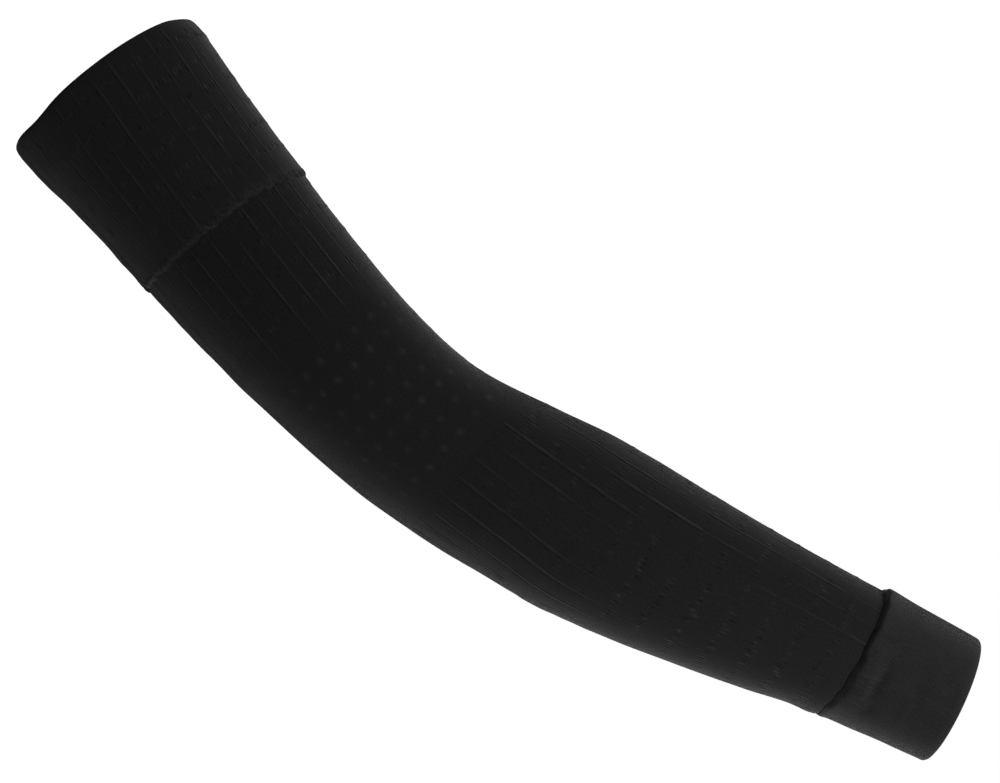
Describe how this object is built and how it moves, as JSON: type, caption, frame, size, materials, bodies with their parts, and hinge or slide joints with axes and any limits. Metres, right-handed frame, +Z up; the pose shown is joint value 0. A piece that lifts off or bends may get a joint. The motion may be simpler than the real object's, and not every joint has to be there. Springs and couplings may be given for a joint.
{
  "type": "arm sleeve",
  "caption": "Black knitted arm sleeve in its worn, gently bent form: a doubled upper band, a ridged tube, a dotted elbow zone and a turned-back ribbed wrist cuff, hollow from end to end.",
  "frame": {"origin": "centre of the upper rim, where the sleeve sits round the upper arm", "axes": "+X from the upper arm towards the wrist, +Z up, +Y away from the viewer of the picture; the middle line bends in the plane Y = 0"},
  "size_m": [0.4031, 0.0906, 0.3111],
  "materials": {
    "band_knit": "matte black doubled knit",
    "tube_knit": "matte black knit with thin lengthwise ridges",
    "elbow_knit": "matte black plain knit with raised dots",
    "cuff_rib": "matte black fine rib, slightly greyer"
  },
  "bodies": {
    "root": {"upper_band": "band_knit", "upper_arm_tube": "tube_knit", "elbow_panel": "elbow_knit", "forearm_tube": "tube_knit", "wrist_cuff": "cuff_rib"}
  },
  "joints": []
}
